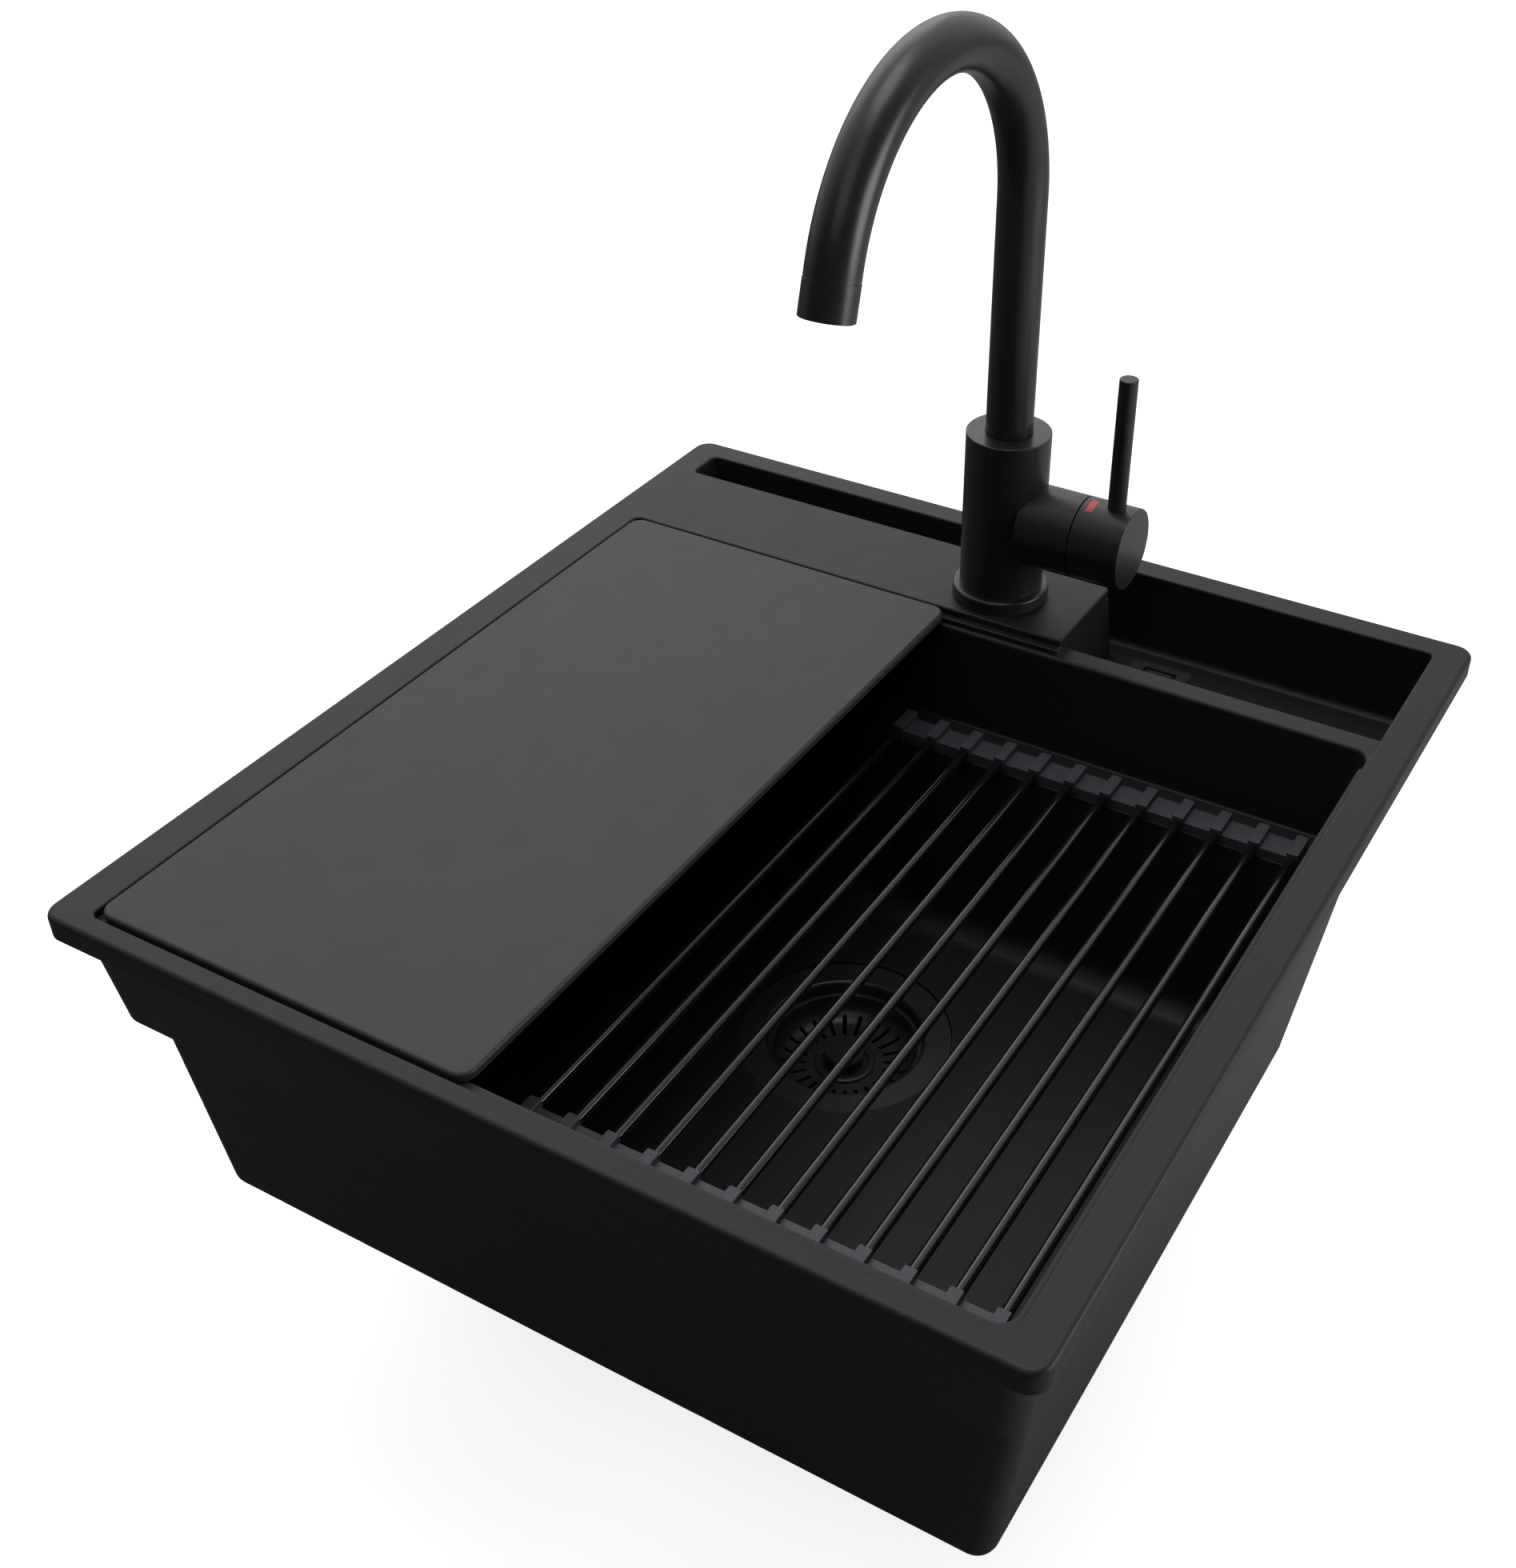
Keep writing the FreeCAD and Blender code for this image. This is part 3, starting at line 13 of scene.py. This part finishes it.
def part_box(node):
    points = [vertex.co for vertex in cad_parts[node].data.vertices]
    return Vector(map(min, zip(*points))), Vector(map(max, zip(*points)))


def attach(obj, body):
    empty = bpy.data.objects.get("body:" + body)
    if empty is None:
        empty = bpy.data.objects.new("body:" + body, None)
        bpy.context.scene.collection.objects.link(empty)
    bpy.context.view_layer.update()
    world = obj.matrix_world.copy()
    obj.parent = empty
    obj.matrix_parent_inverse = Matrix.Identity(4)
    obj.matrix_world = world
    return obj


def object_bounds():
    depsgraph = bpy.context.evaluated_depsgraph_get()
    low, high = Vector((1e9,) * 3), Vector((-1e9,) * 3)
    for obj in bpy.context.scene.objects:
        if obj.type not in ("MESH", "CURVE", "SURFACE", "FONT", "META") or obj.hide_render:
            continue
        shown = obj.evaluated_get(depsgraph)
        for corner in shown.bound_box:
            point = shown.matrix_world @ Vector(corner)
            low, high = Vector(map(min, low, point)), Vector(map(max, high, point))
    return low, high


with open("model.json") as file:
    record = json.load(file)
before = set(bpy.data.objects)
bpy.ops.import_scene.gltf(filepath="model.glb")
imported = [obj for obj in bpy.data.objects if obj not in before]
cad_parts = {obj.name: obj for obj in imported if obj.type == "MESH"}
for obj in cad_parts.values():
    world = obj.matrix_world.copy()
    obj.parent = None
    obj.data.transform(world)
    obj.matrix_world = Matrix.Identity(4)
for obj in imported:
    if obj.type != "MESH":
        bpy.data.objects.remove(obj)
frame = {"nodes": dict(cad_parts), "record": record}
cad_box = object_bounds()
nodes = frame["nodes"]


# ---------------------------------------------------------------- camera
PHOTO_WIDTH = 1895
PHOTO_HEIGHT = 1960
FOCAL_PIXELS = 2417
CENTRE_PIXEL = (1048.4, 997.3)
SENSOR = 36
CLIP_NEAR = 0.05
CLIP_FAR = 50
CAMERA_AT = (0.37768, -0.63491, 0.54893)
CAMERA_RIGHT = Vector((0.864678, 0.502327, -0.000210))
CAMERA_DOWN = Vector((0.301424, -0.519190, -0.799740))
CAMERA_AHEAD = Vector((-0.401840, 0.691454, -0.600346))


def make_camera():
    """The photo's camera, solved from its parallel edges. The photo is taller than wide."""
    data = bpy.data.cameras.new("photo_camera")
    data.sensor_width = SENSOR
    data.lens = FOCAL_PIXELS / PHOTO_HEIGHT * SENSOR
    data.shift_x = -(CENTRE_PIXEL[0] - PHOTO_WIDTH / 2) / PHOTO_HEIGHT
    data.shift_y = (CENTRE_PIXEL[1] - PHOTO_HEIGHT / 2) / PHOTO_HEIGHT
    data.clip_start = CLIP_NEAR
    data.clip_end = CLIP_FAR
    camera = bpy.data.objects.new("photo_camera", data)
    bpy.context.scene.collection.objects.link(camera)
    turned = Matrix((CAMERA_RIGHT, -CAMERA_DOWN, -CAMERA_AHEAD)).transposed()
    camera.matrix_world = Matrix.Translation(CAMERA_AT) @ turned.to_4x4()
    bpy.context.scene.camera = camera


# ---------------------------------------------------------------- material helpers
# Width, share and turn of the painted highlight along edges.
EDGE_HIGHLIGHT_WIDTH = 0.0016
EDGE_HIGHLIGHT_SHARE = 0.7
EDGE_HIGHLIGHT_TURN = (0.8, 0.99)
BEVEL_SAMPLES = 4
LOW, HIGH = 0.3, 0.7
MOTTLE = (9, 4, 0.6)
MOTTLE_TONE = (0.15, 0.25)
FINE_NOISE = (5, 0.7)
FINE_SHARE = 0.6
FINE_BUMP = 0.6
GLOSS_NOISE = (60, 4, 0.65)
GLOSS_SPREAD = 0.02
COARSE_NOISE = (60, 3)
COARSE_BUMP = 0.25


class Shader:
    """A node material under construction, with short calls for the nodes it needs."""

    def __init__(self, name):
        self.material = bpy.data.materials.new(name)
        self.material.use_nodes = True
        self.tree = self.material.node_tree
        self.surface = self.tree.nodes["Principled BSDF"]
        self.place = self.add("ShaderNodeTexCoord").outputs["Object"]

    def add(self, kind, **settings):
        """A new node of this kind, with its properties set."""
        node = self.tree.nodes.new(kind)
        for name, setting in settings.items():
            setattr(node, name, setting)
        return node

    def link(self, source, target):
        self.tree.links.new(source, target)

    def set(self, **values):
        """Values of the surface's own sockets, with _ for each space in a socket's name."""
        for name, number in values.items():
            self.surface.inputs[name.replace("_", " ")].default_value = number

    def stretched(self, scale):
        """Object coordinates scaled per axis, for grain with a direction."""
        mapping = self.add("ShaderNodeMapping")
        mapping.inputs["Scale"].default_value = scale
        self.link(self.place, mapping.inputs["Vector"])
        return mapping.outputs["Vector"]

    def noise(self, scale, detail=3, roughness=0.5, vector=None):
        """Noise from 0 to 1, in object coordinates unless a vector is given."""
        node = self.add("ShaderNodeTexNoise")
        node.inputs["Scale"].default_value = scale
        node.inputs["Detail"].default_value = detail
        node.inputs["Roughness"].default_value = roughness
        self.link(vector or self.place, node.inputs["Vector"])
        return node.outputs["Fac"]

    def specks(self, scale):
        """Distance to the nearest point of a cell pattern."""
        node = self.add("ShaderNodeTexVoronoi")
        node.inputs["Scale"].default_value = scale
        self.link(self.place, node.inputs["Vector"])
        return node.outputs["Distance"]

    def ramp(self, factor, stops):
        """A colour between stops, each a place from 0 to 1 and its colour."""
        node = self.add("ShaderNodeValToRGB")
        elements = node.color_ramp.elements
        elements[0].position, elements[0].color = stops[0]
        elements[1].position, elements[1].color = stops[-1]
        for place, colour in stops[1:-1]:
            elements.new(place).color = colour
        self.link(factor, node.inputs["Fac"])
        return node.outputs["Color"]

    def span(self, factor, low, high, start=0.0, end=1.0):
        """The factor moved from the range start to end into the range low to high."""
        node = self.add("ShaderNodeMapRange")
        node.inputs["From Min"].default_value = start
        node.inputs["From Max"].default_value = end
        node.inputs["To Min"].default_value = low
        node.inputs["To Max"].default_value = high
        self.link(factor, node.inputs["Value"])
        return node.outputs["Result"]

    def bump(self, height, distance, strength=1.0, under=None):
        """Normals bumped by a height, over the bump under it if there is one."""
        node = self.add("ShaderNodeBump")
        node.inputs["Distance"].default_value = distance
        node.inputs["Strength"].default_value = strength
        self.link(height, node.inputs["Height"])
        if under:
            self.link(under, node.inputs["Normal"])
        return node.outputs["Normal"]

    def uneven_gloss(self, factor, rough, spread):
        """Roughness that varies by the spread to either side, with the factor."""
        gloss = self.span(factor, rough - spread, rough + spread, LOW, HIGH)
        self.link(gloss, self.surface.inputs["Roughness"])

    def painted_edge_highlight(self, tone, highlight_tone, radius):
        """The tone, paler along edges: a painted highlight on the rounded edges."""
        bevel = self.add("ShaderNodeBevel", samples=BEVEL_SAMPLES)
        bevel.inputs["Radius"].default_value = radius
        geometry = self.add("ShaderNodeNewGeometry")
        turn = self.add("ShaderNodeVectorMath", operation="DOT_PRODUCT")
        self.link(bevel.outputs["Normal"], turn.inputs[0])
        self.link(geometry.outputs["Normal"], turn.inputs[1])
        mix = self.add("ShaderNodeMix", data_type="RGBA")
        highlight_mask = self.span(turn.outputs["Value"], EDGE_HIGHLIGHT_SHARE, 0.0, *EDGE_HIGHLIGHT_TURN)
        self.link(highlight_mask, mix.inputs["Factor"])
        colours = [socket for socket in mix.inputs if socket.type == "RGBA"]
        self.link(tone, colours[0])
        colours[1].default_value = highlight_tone
        return [socket for socket in mix.outputs if socket.type == "RGBA"][0]


def grey(level, warmth=0.0):
    """A grey of this linear level, warmed towards red and away from blue."""
    return (level * (1 + warmth), level, level * (1 - warmth), 1)


def moulded(name, dark, light, rough, grain=900, depth=0.00003, highlight_tone=None):
    """Matt moulded material: fine grain, faint mottling and a slightly uneven gloss."""
    shader = Shader(name)
    mottle = shader.noise(*MOTTLE)
    fine = shader.noise(grain, *FINE_NOISE)
    blend = shader.add("ShaderNodeMath", operation="MULTIPLY_ADD")
    shader.link(fine, blend.inputs[0])
    blend.inputs[1].default_value = FINE_SHARE
    shader.link(shader.span(mottle, *MOTTLE_TONE), blend.inputs[2])
    tone = shader.ramp(blend.outputs["Value"], [(LOW, dark), (HIGH, light)])
    # Painted highlight: the tone turns paler along edges.
    if highlight_tone:
        tone = shader.painted_edge_highlight(tone, highlight_tone, EDGE_HIGHLIGHT_WIDTH)
    shader.link(tone, shader.surface.inputs["Base Color"])
    shader.uneven_gloss(shader.noise(*GLOSS_NOISE), rough, GLOSS_SPREAD)
    coarse = shader.bump(shader.noise(*COARSE_NOISE), depth * 2, COARSE_BUMP)
    shader.link(shader.bump(fine, depth, FINE_BUMP, coarse), shader.surface.inputs["Normal"])
    return shader


# ---------------------------------------------------------------- materials
COATING_NOISE = (220, 4, 0.6)
COATING_SPECKLE = (1400, 3, 0.6)
COATING_TONES = (0.85, 1.15)
# Painted highlight along the coating's edges, as a multiple of its tone.
COATING_EDGE_HIGHLIGHT = 3
COATING_SPREAD = 0.035
COATING_DEPTH = 0.00001
COATING_BUMPS = (0.35, 0.3)
METAL_NOISE = (180, 4, 0.6)
METAL_TONES = (0.85, 1.0)
METAL_SPREAD = 0.06
METAL_DEPTH = 0.00002
METAL_BUMP = 0.4
PIT_SCALE = 900
PIT_BUMP = (0.0001, 0.5)
ENAMEL_NOISE = (300, 3)
ENAMEL_GLOSS = (0.28, 0.36)
ENAMEL_DARK, ENAMEL_LIGHT = (0.62, 0.045, 0.05, 1), (0.72, 0.07, 0.07, 1)
EVEN = (1, 1, 1)
TURNED = (1, 1, 14)
DRAWN = (1, 0.05, 1)


def composite():
    """Quartz composite: near black, with fine mineral specks."""
    # The last colour is the painted highlight along edges.
    shader = moulded("quartz_composite", grey(0.011), grey(0.019), 0.46, 700, 0.00004, grey(0.05))
    shader.set(Specular_IOR_Level=0.36)
    return shader.material


def board_face():
    """The cutting board: the same composite, a little lighter, with a finer grain."""
    # The last colour is the painted highlight along edges.
    shader = moulded("board_composite", grey(0.024), grey(0.034), 0.5, 1300, 0.00002, grey(0.06))
    shader.set(Specular_IOR_Level=0.5)
    return shader.material


def silicone():
    """Grey silicone with a cold tint, of the rack's strips."""
    low, high = (0.058, 0.058, 0.072, 1), (0.074, 0.074, 0.092, 1)
    shader = moulded("silicone", low, high, 0.45, 500, 0.00002)
    shader.set(Specular_IOR_Level=0.45)
    return shader.material


def coated_metal(name, tone, rough, grain_scale, gloss=0.5):
    """Black coating on metal, with a fine turned grain under it."""
    shader = Shader(name)
    grain = shader.noise(*COATING_NOISE, shader.stretched(grain_scale))
    speckle = shader.noise(*COATING_SPECKLE)
    dark, light = (grey(tone * share) for share in COATING_TONES)
    colour = shader.ramp(grain, [(LOW, dark), (HIGH, light)])
    # Painted highlight: the coating turns paler along edges.
    colour = shader.painted_edge_highlight(colour, grey(tone * COATING_EDGE_HIGHLIGHT), EDGE_HIGHLIGHT_WIDTH / 2)
    shader.link(colour, shader.surface.inputs["Base Color"])
    shader.uneven_gloss(grain, rough, COATING_SPREAD)
    under = shader.bump(grain, COATING_DEPTH, COATING_BUMPS[0])
    over = shader.bump(speckle, COATING_DEPTH, COATING_BUMPS[1], under)
    shader.link(over, shader.surface.inputs["Normal"])
    shader.set(Specular_IOR_Level=gloss)
    return shader.material


def rubber():
    """Black rubber of the seals and gaskets."""
    return moulded("black_rubber", grey(0.01), grey(0.016), 0.6, 600, 0.00003).material


def foam():
    """Closed-cell foam: dull, with a skin of small pits."""
    shader = moulded("sealing_foam", grey(0.014), grey(0.026), 0.85, 500, 0.00004)
    pits = shader.bump(shader.specks(PIT_SCALE), *PIT_BUMP)
    shader.link(pits, shader.surface.inputs["Normal"])
    return shader.material


def plastic(name, dark, light, rough=0.4):
    """Moulded plastic with a fine grain."""
    return moulded(name, dark, light, rough, 400, 0.00002).material


def metal(name, colour, rough, grain_scale):
    """Bare metal with a machined grain."""
    shader = Shader(name)
    grain = shader.noise(*METAL_NOISE, shader.stretched(grain_scale))
    dark, light = (tuple(part * tone for part in colour) + (1,) for tone in METAL_TONES)
    shader.link(shader.ramp(grain, [(LOW, dark), (HIGH, light)]), shader.surface.inputs["Base Color"])
    shader.uneven_gloss(grain, rough, METAL_SPREAD)
    shader.link(shader.bump(grain, METAL_DEPTH, METAL_BUMP), shader.surface.inputs["Normal"])
    shader.set(Metallic=1.0)
    return shader.material


def enamel():
    """Red enamel of the mark for hot."""
    shader = Shader("red_enamel")
    tone = shader.noise(*ENAMEL_NOISE)
    colour = shader.ramp(tone, [(LOW, ENAMEL_DARK), (HIGH, ENAMEL_LIGHT)])
    shader.link(colour, shader.surface.inputs["Base Color"])
    shader.link(shader.span(tone, *ENAMEL_GLOSS), shader.surface.inputs["Roughness"])
    return shader.material


SLOT_MATERIALS = {
    "composite": composite(),
    "board": board_face(),
    "silicone": silicone(),
    "rod_metal": coated_metal("rod_coating", 0.007, 0.13, DRAWN, gloss=0.75),
    "tap_metal": coated_metal("tap_coating", 0.02, 0.31, TURNED, gloss=0.6),
    "strainer_steel": coated_metal("strainer_coating", 0.03, 0.34, EVEN, gloss=0.6),
    "rubber": rubber(),
    "waste_plastic": plastic("waste_polypropylene", grey(0.014), grey(0.02)),
    "cover_plastic": plastic("cover_plastic", grey(0.03), grey(0.045)),
    "bush_plastic": plastic("bush_acetal", grey(0.008), grey(0.011), 0.3),
    "cartridge_plastic": plastic("cartridge_acetal", grey(0.5, 0.02), grey(0.58, 0.02)),
    "brass": metal("turned_brass", (0.72, 0.55, 0.28), 0.3, TURNED),
    "zinc_steel": metal("zinc_steel", (0.62, 0.63, 0.65), 0.35, (4, 4, 4)),
    "red_mark": enamel(),
}
NODE_SLOTS = {part["node"]: part["material_slot"] for part in frame["record"]["subparts"]}


def dress_nodes():
    """Gives every node of the frame the material of its slot."""
    for name, thing in nodes.items():
        thing.data.materials.clear()
        thing.data.materials.append(SLOT_MATERIALS[NODE_SLOTS[name]])


# ---------------------------------------------------------------- swept pieces
UP = Vector((0, 0, 1))
CORNER_STEPS = 8
SEAL_INSET = 0.0042
SEAL_CORNER = 0.006
SEAL_LEVEL = 0
SEAL_PROFILE = [
    (-0.0024, 0), (-0.0024, -0.0008), (-0.0019, -0.0012), (0.0019, -0.0012),
    (0.0024, -0.0008), (0.0024, 0),
]
THREAD_PITCH = 0.0015
THREAD_STEPS = 36
THREAD_PROFILE = [(-0.0002, -0.0006), (0.0003, -0.0001), (0.0003, 0.0001), (-0.0002, 0.0006)]


def sweep(name, stations, profile, material, body, closed):
    """A profile swept through stations: each a place and its outward direction."""
    shape = bmesh.new()
    rows = [
        [shape.verts.new(place + outward * out + UP * up) for out, up in profile]
        for place, outward in stations
    ]
    following = rows[1:] + rows[:1] if closed else rows[1:]
    for row, next_row in zip(rows, following):
        for i in range(len(profile)):
            j = (i + 1) % len(profile)
            shape.faces.new((row[i], row[j], next_row[j], next_row[i]))
    if not closed:
        shape.faces.new(rows[0])
        shape.faces.new(rows[-1])
    bmesh.ops.recalc_face_normals(shape, faces=shape.faces)
    mesh = bpy.data.meshes.new(name)
    shape.to_mesh(mesh)
    shape.free()
    mesh.materials.append(material)
    piece = bpy.data.objects.new(name, mesh)
    bpy.context.scene.collection.objects.link(piece)
    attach(piece, body)
    return piece


def flat_direction(angle):
    """The level direction at this angle from +X."""
    return Vector((math.cos(angle), math.sin(angle), 0))


def rounded_loop(low, high, corner, level):
    """Stations round a rectangle with round corners, anticlockwise from the right."""
    centres = [
        (high.x - corner, high.y - corner), (low.x + corner, high.y - corner),
        (low.x + corner, low.y + corner), (high.x - corner, low.y + corner),
    ]
    stations = []
    for quarter, (x, y) in enumerate(centres):
        for step in range(CORNER_STEPS + 1):
            outward = flat_direction(math.pi / 2 * (quarter + step / CORNER_STEPS))
            stations.append((Vector((x, y, level)) + outward * corner, outward))
    return stations


def make_rim_seal():
    """Foam strip under the rim, which the worktop squeezes."""
    low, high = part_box("sink_basin")
    inset = Vector((SEAL_INSET, SEAL_INSET, 0))
    loop = rounded_loop(Vector(low) + inset, Vector(high) - inset, SEAL_CORNER, SEAL_LEVEL)
    sweep("rim_seal", loop, SEAL_PROFILE, foam(), "sink", closed=True)


def make_shank_thread():
    """Screw thread on the tap's shank, from a turn above its end to a turn below the nut."""
    low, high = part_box("tap_shank")
    start = low[2] + THREAD_PITCH
    nut_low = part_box("fixing_nut")[0]
    turns = (nut_low[2] - THREAD_PITCH - start) / THREAD_PITCH
    centre = (Vector(low) + Vector(high)) / 2
    radius = (high[0] - low[0]) / 2
    stations = []
    for step in range(int(turns * THREAD_STEPS)):
        outward = flat_direction(2 * math.pi * step / THREAD_STEPS)
        level = start + THREAD_PITCH * step / THREAD_STEPS
        place = Vector((centre.x, centre.y, level)) + outward * radius
        stations.append((place, outward))
    material = SLOT_MATERIALS[NODE_SLOTS["tap_shank"]]
    sweep("shank_thread", stations, THREAD_PROFILE, material, "sink", closed=False)


# ---------------------------------------------------------------- stage and light
FLOOR_GAP = 0.002
FLOOR_HALF = 8
FLOOR_LIFT = 0.73
FLOOR_TONE = 0.85
FLOOR_ROUGHNESS = 0.9
FLOOR_SPECULAR = 0.1
WHITE = grey(1.0)
# Painted light on the floor: for light bounced onto the object, its tone is brighter to the right and
# back and dark in front.
FLOOR_BOUNCE = (0.14, 0.5)
BOUNCE_SIDE = (0.8, 0.6, 0)
BOUNCE_FROM = (-0.05, 0.3)
BRIGHT_SIDE = (-0.5, 0.6, 0.5)
GLOW_FROM = (-0.1, 0.95)
GLOW_TO = (0.03, 0.78)
LAMPS = {
    "key": ((-1.7, 1.6, 1.7), (0, 0, 0), (2.4, 1.6), 10),
    "top": ((0.1, 0.3, 2.3), (0, 0, 0), (1.2, 1.2), 10),
    "right": ((2.0, 0.6, 0.3), (0, 0.1, 0), (1.2, 1.0), 16),
    "fill": ((0.4, -1.6, 2.0), (0, 0, 0), (1.6, 1.6), 5),
}


def make_floor():
    """Pale floor, lifted to white for the camera but still darker in the shadow."""
    level = cad_box[0].z - FLOOR_GAP
    mesh = bpy.data.meshes.new("floor")
    corners = [(-1, -1), (1, -1), (1, 1), (-1, 1)]
    mesh.from_pydata(
        [(x * FLOOR_HALF, y * FLOOR_HALF, level) for x, y in corners], [], [(0, 1, 2, 3)]
    )
    floor = bpy.data.objects.new("floor", mesh)
    bpy.context.scene.collection.objects.link(floor)
    shader = Shader("pale_floor")
    shader.set(Roughness=FLOOR_ROUGHNESS, Specular_IOR_Level=FLOOR_SPECULAR)
    shader.set(Emission_Color=WHITE)
    seen = shader.add("ShaderNodeLightPath").outputs["Is Camera Ray"]
    # Painted light: the floor's tone for the object grows brighter to the right and back.
    across = shader.add("ShaderNodeVectorMath", operation="DOT_PRODUCT")
    across.inputs[1].default_value = BOUNCE_SIDE
    shader.link(shader.place, across.inputs[0])
    bounce = shader.span(across.outputs["Value"], *FLOOR_BOUNCE, *BOUNCE_FROM)
    tone = shader.add("ShaderNodeMath", operation="MAXIMUM")
    shader.link(shader.span(seen, 0.0, FLOOR_TONE), tone.inputs[0])
    shader.link(bounce, tone.inputs[1])
    shader.link(tone.outputs["Value"], shader.surface.inputs["Base Color"])
    lift = shader.span(seen, 0.0, FLOOR_LIFT)
    shader.link(lift, shader.surface.inputs["Emission Strength"])
    mesh.materials.append(shader.material)


def make_world():
    """White for the camera; for the object, bright behind and above and dim in front."""
    world = bpy.data.worlds.new("studio")
    bpy.context.scene.world = world
    world.use_nodes = True
    tree = world.node_tree
    place = tree.nodes.new("ShaderNodeTexCoord")
    toward = tree.nodes.new("ShaderNodeVectorMath")
    toward.operation = "DOT_PRODUCT"
    toward.inputs[1].default_value = Vector(BRIGHT_SIDE).normalized()
    tree.links.new(place.outputs["Generated"], toward.inputs[0])
    glow = tree.nodes.new("ShaderNodeMapRange")
    glow.interpolation_type = "SMOOTHSTEP"
    for socket, number in zip(glow.inputs[1:5], (*GLOW_FROM, *GLOW_TO)):
        socket.default_value = number
    tree.links.new(toward.outputs["Value"], glow.inputs["Value"])
    path = tree.nodes.new("ShaderNodeLightPath")
    strength = tree.nodes.new("ShaderNodeMath")
    strength.operation = "MAXIMUM"
    tree.links.new(path.outputs["Is Camera Ray"], strength.inputs[0])
    tree.links.new(glow.outputs["Result"], strength.inputs[1])
    background = tree.nodes["Background"]
    background.inputs["Color"].default_value = WHITE
    tree.links.new(strength.outputs["Value"], background.inputs["Strength"])


def make_lamp(name, at, aim, size, power):
    """A soft rectangular lamp, with its power in watts."""
    data = bpy.data.lights.new(name, "AREA")
    data.shape = "RECTANGLE"
    data.size, data.size_y = size
    data.energy = power
    lamp = bpy.data.objects.new(name, data)
    bpy.context.scene.collection.objects.link(lamp)
    lamp.location = at
    lamp.rotation_euler = (Vector(aim) - Vector(at)).to_track_quat("-Z", "Y").to_euler()


make_camera()
dress_nodes()
make_rim_seal()
make_shank_thread()
make_floor()
make_world()
for lamp_name, settings in LAMPS.items():
    make_lamp(lamp_name, *settings)
bpy.context.scene.view_settings.view_transform = "Standard"
